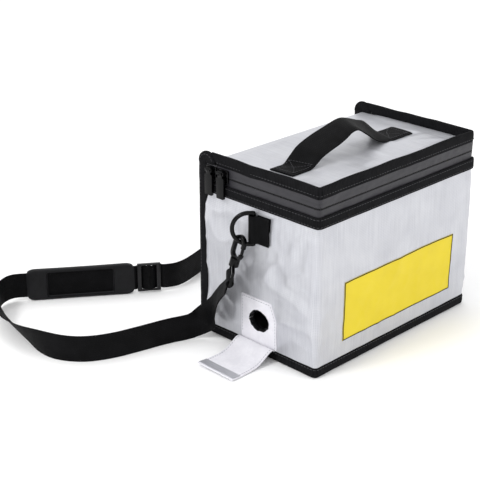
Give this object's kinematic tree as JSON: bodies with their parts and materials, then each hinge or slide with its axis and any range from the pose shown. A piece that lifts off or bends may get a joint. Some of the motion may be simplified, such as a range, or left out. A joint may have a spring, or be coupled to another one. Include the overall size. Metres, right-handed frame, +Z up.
{
  "type": "battery charging bag",
  "caption": "Soft fire-resistant bag for storing and charging lithium packs, with a zipped lid, carry handle, vent flap and shoulder strap.",
  "frame": {"origin": "on the ground under the middle of the bag body", "axes": "+Z up, +X along the front wall to the right, +Y to the back; the front wall has the plain label"},
  "size_m": [0.3872, 0.3165, 0.1896],
  "materials": {
    "silver_fabric": "coated satin",
    "stiffener": "matte",
    "lining": "woven",
    "black_binding": "woven",
    "black_webbing": "woven",
    "zip_tape": "satin",
    "zip_coil": "matte",
    "black_metal": "gloss",
    "pull_plastic": "matte",
    "hook_loop": "fuzzy",
    "label": "matte",
    "pad_rubber": "satin"
  },
  "bodies": {
    "root": {"floor_binding": "black_binding", "floor_panel": "silver_fabric", "floor_board": "stiffener", "floor_lining": "lining", "front_panel": "silver_fabric", "left_panel": "silver_fabric", "right_panel": "silver_fabric", "back_panel": "silver_fabric", "front_board": "stiffener", "left_board": "stiffener", "right_board": "stiffener", "back_board": "stiffener", "wall_lining": "lining", "vent_patch": "hook_loop", "label_panel": "label", "rim_binding": "black_binding", "lower_zip_tape": "zip_tape", "lower_zip_coil": "zip_coil", "back_binding_left": "black_binding", "back_binding_right": "black_binding", "zip_end_left": "zip_tape", "zip_end_right": "zip_tape", "ring_tab_left": "black_webbing", "ring_tab_right": "black_webbing", "strap_left_run": "black_webbing", "strap_link": "black_webbing", "strap_right_run": "black_webbing", "strap_pad": "pad_rubber", "strap_adjuster": "black_metal"},
    "lid": {"lid_panel": "silver_fabric", "lid_board": "stiffener", "lid_lining": "lining", "lid_binding": "black_binding", "upper_zip_tape": "zip_tape", "upper_zip_coil": "zip_coil", "handle": "black_webbing"},
    "zip_slider_front": {"zip_slider_front": "black_metal"},
    "zip_slider_rear": {"zip_slider_rear": "black_metal"},
    "zip_pull_front": {"zip_pull_front": "pull_plastic"},
    "zip_pull_rear": {"zip_pull_rear": "pull_plastic"},
    "vent_flap": {"vent_flap": "hook_loop"},
    "ring_left": {"carry_ring_left": "black_metal"},
    "hook_left": {"snap_hook_left": "black_metal"},
    "gate_left": {"hook_gate_left": "black_metal"},
    "eye_left": {"swivel_eye_left": "black_metal", "strap_end_left": "black_webbing"},
    "ring_right": {"carry_ring_right": "black_metal"},
    "hook_right": {"snap_hook_right": "black_metal"},
    "gate_right": {"hook_gate_right": "black_metal"},
    "eye_right": {"swivel_eye_right": "black_metal", "strap_end_right": "black_webbing"}
  },
  "joints": [
    {"name": "lid_hinge", "type": "hinge", "parent": "root", "child": "lid", "pos_m": [0, 0.066, 0.1645], "axis": [-1, 0, 0], "range_deg": [0, 180]},
    {"name": "zip_front_slide", "type": "slide", "parent": "root", "child": "zip_slider_front", "axis": [0, -1, 0], "range_m": [0, 0.098]},
    {"name": "zip_rear_slide", "type": "slide", "parent": "root", "child": "zip_slider_rear", "axis": [0, -1, 0], "range_m": [0, 0.002]},
    {"name": "zip_pull_front_swing", "type": "hinge", "parent": "zip_slider_front", "child": "zip_pull_front", "pos_m": [-0.112, 0.044, 0.161], "axis": [0, 1, 0], "range_deg": [0, 110]},
    {"name": "zip_pull_rear_swing", "type": "hinge", "parent": "zip_slider_rear", "child": "zip_pull_rear", "pos_m": [-0.112, 0.0585, 0.161], "axis": [0, 1, 0], "range_deg": [0, 110]},
    {"name": "vent_flap_hinge", "type": "hinge", "parent": "root", "child": "vent_flap", "pos_m": [-0.1096, 0.00225, 0.011], "axis": [0, 1, 0], "range_deg": [0, 100]},
    {"name": "ring_left_swing", "type": "hinge", "parent": "root", "child": "ring_left", "pos_m": [-0.1111, 0.005, 0.1205], "axis": [0, 0, 1], "range_deg": [-5, 45]},
    {"name": "hook_left_swing", "type": "hinge", "parent": "ring_left", "child": "hook_left", "pos_m": [-0.11902, 0.01292, 0.10803], "axis": [-0.6124, 0.6124, 0.5], "range_deg": [0, 60]},
    {"name": "gate_left_open", "type": "hinge", "parent": "hook_left", "child": "gate_left", "pos_m": [-0.12139, 0.00894, 0.09872], "axis": [-0.9736, 0.1029, 0.204], "range_deg": [0, 22], "stiffness_Nm_per_rad": 0.01, "springref_deg": -5.73},
    {"name": "eye_left_swivel", "type": "hinge", "parent": "hook_left", "child": "eye_left", "pos_m": [-0.12319, 0.01709, 0.08601], "axis": [0.183, -0.183, 0.9659], "range_deg": [0, 90]},
    {"name": "ring_right_swing", "type": "hinge", "parent": "root", "child": "ring_right", "pos_m": [0.1111, 0.005, 0.1205], "axis": [0, 0, -1], "range_deg": [-5, 45]},
    {"name": "hook_right_swing", "type": "hinge", "parent": "ring_right", "child": "hook_right", "pos_m": [0.11902, 0.01292, 0.10803], "axis": [-0.6124, -0.6124, -0.5], "range_deg": [0, 60]},
    {"name": "gate_right_open", "type": "hinge", "parent": "hook_right", "child": "gate_right", "pos_m": [0.12139, 0.00894, 0.09872], "axis": [-0.9736, -0.1029, -0.204], "range_deg": [0, 22], "stiffness_Nm_per_rad": 0.01, "springref_deg": -5.73},
    {"name": "eye_right_swivel", "type": "hinge", "parent": "hook_right", "child": "eye_right", "pos_m": [0.12319, 0.01709, 0.08601], "axis": [0.183, 0.183, -0.9659], "range_deg": [0, 90]}
  ]
}
